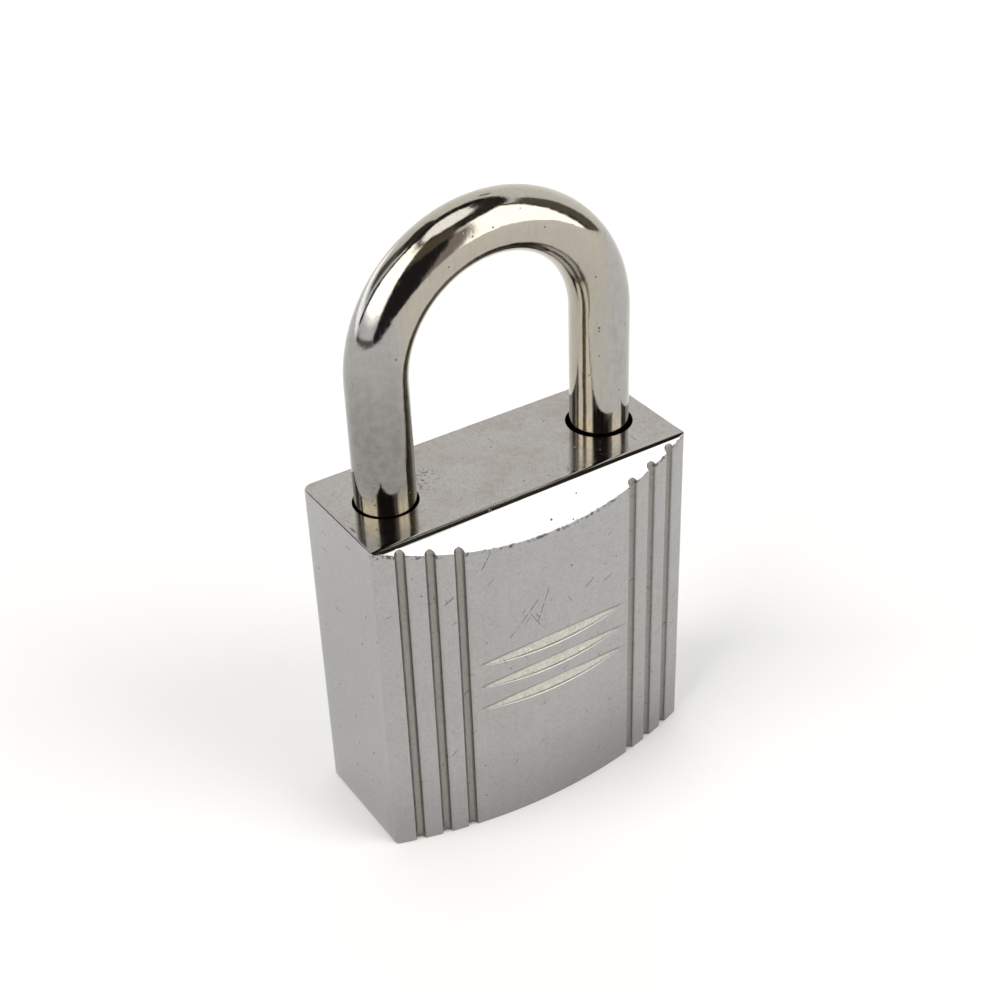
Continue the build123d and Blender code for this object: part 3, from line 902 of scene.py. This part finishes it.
# The flutes' fill: grime with pits, plus painted shade on each flute's right side.
grime_and_shade = plate.mix(plate.noise(3.5, 4.0), (0.30, 0.285, 0.26), (0.50, 0.475, 0.44))
grime_and_shade = plate.mix(plate.pits(3.4, 0.28, 0.3) * 0.8, grime_and_shade, (0.06, 0.055, 0.05))
grime_and_shade = plate.mix(flute_shade.least(1.0) * 0.65, grime_and_shade, (0.15, 0.14, 0.125))
colour = plate.mix(in_flute, colour, grime_and_shade)
rising, falling = [
    plate.noise(7.0, 1.0, stretch=(0.15, 1, 1), turn=(0, tilt, 0)).ramp(0.4, 0.6)
    for tilt in (0.75, -0.75)]
cross_grain = rising + falling
matt_floor_and_shade = plate.mix(cross_grain * 0.5, (0.46, 0.45, 0.40), (0.80, 0.79, 0.74))
# The bars' floors: pale matt metal with a cross grain, darkened by painted shade under the upper
# edge.
matt_floor_and_shade = plate.mix(bar_shade * 0.7, matt_floor_and_shade, (0.16, 0.15, 0.13))
colour = plate.mix(bar_mask, colour, matt_floor_and_shade)
damage = (scratches + nicks * 0.7 + hair * 0.6 + pitting + cluster + chips).least(1.0)
colour = plate.mix(damage * 0.85, colour, (0.07, 0.068, 0.072))
dull = (in_flute + bar_mask).least(1.0)
roughness = 0.07 + fine_clouds * 0.05 + stain * 0.05 - crest * 0.07 + dull * 0.30 + damage * 0.2
height = clouds * 0.005 + fine_clouds * (1 - crest) * 0.0015 - pitting * 0.012
height = height + cross_grain * bar_mask * 0.004
plate_material = plate.metal(colour, roughness, plate.bump(height, 1.0))
coat(case, plate_material)

# %% [markdown]
# ## Plated bar
#
# The shackle is the most polished piece and mirrors the room in long streaks.  It is
# not a perfect cylinder: slow waves left by bending make the streaks wander.  Fine
# lines run along it, its plate is yellow where it rubs in the bores, and the plate
# has a few pits.

# %% Plated bar finish
bright = Finish("bright_bar")
waves = bright.noise(0.5, 2.0)
ripple = bright.noise(2.4, 3.0, rough=0.6)
along_legs = bright.noise(1.6, 4.0, stretch=(0.25, 0.25, 2.5), rough=0.65)
streaks = along_legs.ramp(0.5, 0.68)
rubbed = bright.z.ramp(case_top + 1.6, case_top + 0.3) * bright.z.ramp(case_top - 4, case_top - 1)
rubbed = rubbed * (streaks * 0.4 + 0.6)
inner_side = abs(bright.x).ramp(leg_x, leg_x - 1.2)
bent_part = bright.z.ramp(arch_z - 3, arch_z + 4)
# The left leg is coloured darker than the right one.
left_leg_share = bright.x.ramp(3.0, -3.0)
leg_tone = bright.mix(left_leg_share, (0.345, 0.342, 0.335), (0.215, 0.21, 0.20))
colour = bright.mix(bent_part, leg_tone, (0.36, 0.352, 0.338))
colour = bright.mix(ripple.ramp(0.35, 0.65) * 0.12, colour, (0.6, 0.59, 0.57))
colour = bright.mix(streaks * 0.3, colour, (0.26, 0.235, 0.20))
colour = bright.mix(inner_side * 0.4, colour, (0.46, 0.40, 0.29))
colour = bright.mix(rubbed * 0.8, colour, (0.50, 0.435, 0.32))
bar_pits = bright.pits(1.5, 0.10, 0.2) + bright.pits(3.0, 0.16, 0.1)
colour = bright.mix(bar_pits * 0.8, colour, (0.06, 0.055, 0.05))
long_hair = bright.noise(6.0, 2.0, stretch=(1, 1, 0.05)).ramp(0.70, 0.78)
colour = bright.mix(long_hair * 0.4, colour, (0.16, 0.15, 0.14))
roughness = 0.06 + ripple * 0.05 + streaks * 0.08 + bar_pits * 0.3
height = waves * 0.03 + ripple * 0.004 - bar_pits * 0.012
bright_material = bright.metal(colour, roughness, bright.bump(height, 1.0))
coat(shackle, bright_material)

# %% [markdown]
# ## Turned, ground and stamped pieces
#
# The lock's works are plain machined metal.  Turning leaves fine rings round the
# piece's own axis, stamping and grinding leave straight hairs, and drawn wire has
# neither.  One function makes each of them from the same five choices: colour,
# roughness, the kind of tool marks, how many there are in a millimetre, and how
# strongly the metal is stained.

# %% Machined finishes
def machined(name, colour, rough, marks, per_mm, stained=0.3):
    """Metal with tool marks.  rings: sine of the distance from the key's axis;
    hairs: noise stretched along X; drawn: noise stretched along Z."""
    finish = Finish(name)
    clouds = finish.noise(1.1, 4.0, rough=0.6)
    if marks == "rings":
        ring = finish.math("SQRT", finish.x * finish.x + finish.y * finish.y)
        turns = ring + finish.noise(0.8) * 0.05 + finish.z * 0.9
        tooling = finish.math("SINE", turns * (2 * math.pi * per_mm)) * 0.5 + 0.5
    else:
        stretch = (8, 0.6, 0.6) if marks == "hairs" else (0.6, 0.6, 8)
        tooling = finish.noise(per_mm, 2.0, stretch=stretch)
    dark = [0.62 * part for part in colour]
    tone = finish.mix(clouds.ramp(0.4, 0.7) * stained, colour, dark)
    tone = finish.mix(finish.pits(2.2, 0.12, 0.12) * 0.6, tone, [0.3 * part for part in colour])
    relief = finish.bump(tooling, 0.0035, finish.bump(clouds, 0.006))
    return finish.metal(tone, clouds * 0.12 + tooling * 0.05 + rough, relief)


def give(material, *nodes):
    """Puts a material on CAD pieces without touching their shape."""
    for node in nodes:
        coat(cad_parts[node], material)


# %% [markdown]
# ## The base and the key disc
#
# The base plate is let into the case and held by two rivets, and the slotted disc
# that the key turns sits in its middle.  Nobody polishes the underside, so the plate
# has a satin grain, scuffs from tables, and a brassy ring where the disc turns.

# %% Base finishes
def satin_plate(name, colour, worn_ring=None):
    """Satin nickel with a straight grain and scuffs.  worn_ring is the radius at
    which brass shows through, round the upright axis of the key."""
    finish = Finish(name)
    clouds = finish.noise(0.9, 4.0, rough=0.6)
    grain = finish.noise(7.0, 2.0, stretch=(8, 0.5, 0.5))
    scuffs = finish.noise(4.0, 2.0, stretch=(0.15, 2, 2), turn=(0, 0, 0.6)).ramp(0.66, 0.74)
    tone = finish.mix(clouds.ramp(0.42, 0.66) * 0.5, colour, [0.7 * part for part in colour])
    tone = finish.mix(scuffs * 0.4, tone, (0.22, 0.21, 0.20))
    if worn_ring:
        ring = finish.math("SQRT", finish.x * finish.x + finish.y * finish.y)
        wear = abs(ring - worn_ring).ramp(0.35, 0.05) * finish.noise(2.0, 3.0).ramp(0.4, 0.6)
        tone = finish.mix(wear * 0.7, tone, (0.52, 0.38, 0.18))
    tone = finish.mix(finish.pits(1.8, 0.12, 0.15) * 0.7, tone, (0.08, 0.08, 0.07))
    relief = finish.bump(grain, 0.003, finish.bump(clouds, 0.008))
    return finish.metal(tone, clouds * 0.12 + grain * 0.06 + 0.22, relief)


disc_radius = node_box("key_disc")[1][0]
give(satin_plate("satin_base", (0.50, 0.48, 0.45), disc_radius + 0.4), "base_plate")
give(satin_plate("rivet_heads", (0.47, 0.45, 0.41)), "base_rivets")
give(satin_plate("slotted_disc", (0.46, 0.43, 0.38), 1.1), "key_disc")

# %% [markdown]
# ## The works
#
# What turns or guides is brass, the wards are blanked from nickel silver sheet, the
# washer is bronze, and everything that carries load is steel.  The pin ends show on
# the back of the case, ground nearly flush and a little darker than the plate.

# %% Finishes of the works
turned_brass = machined("turned_brass", (0.66, 0.49, 0.22), 0.16, "rings", 9)
bolt_brass = machined("milled_brass", (0.63, 0.47, 0.22), 0.2, "hairs", 5)
give(turned_brass, "lock_barrel", "cam_driver", *[f"ward_spacer_{n}" for n in (1, 2, 3, 4)])
give(bolt_brass, "bolt_guide")
give(machined("blanked_wards", (0.60, 0.57, 0.48), 0.2, "hairs", 6), *[
    f"ward_plate_{n}" for n in (1, 2, 3)])
give(machined("bronze_washer", (0.62, 0.38, 0.20), 0.18, "rings", 7), "thrust_washer")
give(machined("ground_steel", (0.50, 0.505, 0.51), 0.14, "drawn", 6), "guide_dowel",
     "ward_locating_pin")
give(machined("hard_bolt", (0.44, 0.45, 0.465), 0.17, "hairs", 7, stained=0.5), "lock_bolt",
     "bolt_follower_pin")
give(machined("ball_steel", (0.56, 0.565, 0.57), 0.06, "drawn", 4, stained=0.1), "friction_ball")
give(machined("drawn_spring", (0.38, 0.385, 0.40), 0.22, "drawn", 8), "friction_spring")
give(machined("pin_ends", (0.42, 0.405, 0.38), 0.2, "hairs", 7, stained=0.6),
     "heel_retaining_pin", "friction_plug", "driver_stop_pin")
bare = [name for name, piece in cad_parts.items()
        if name not in ("body", "shackle") and not piece.active_material.use_nodes]
print("CAD pieces with no finish:", bare)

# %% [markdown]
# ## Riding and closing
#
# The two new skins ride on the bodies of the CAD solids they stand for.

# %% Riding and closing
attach(case, "case")
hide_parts("body")
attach(shackle, "shackle")
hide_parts("shackle")

bpy.context.view_layer.update()
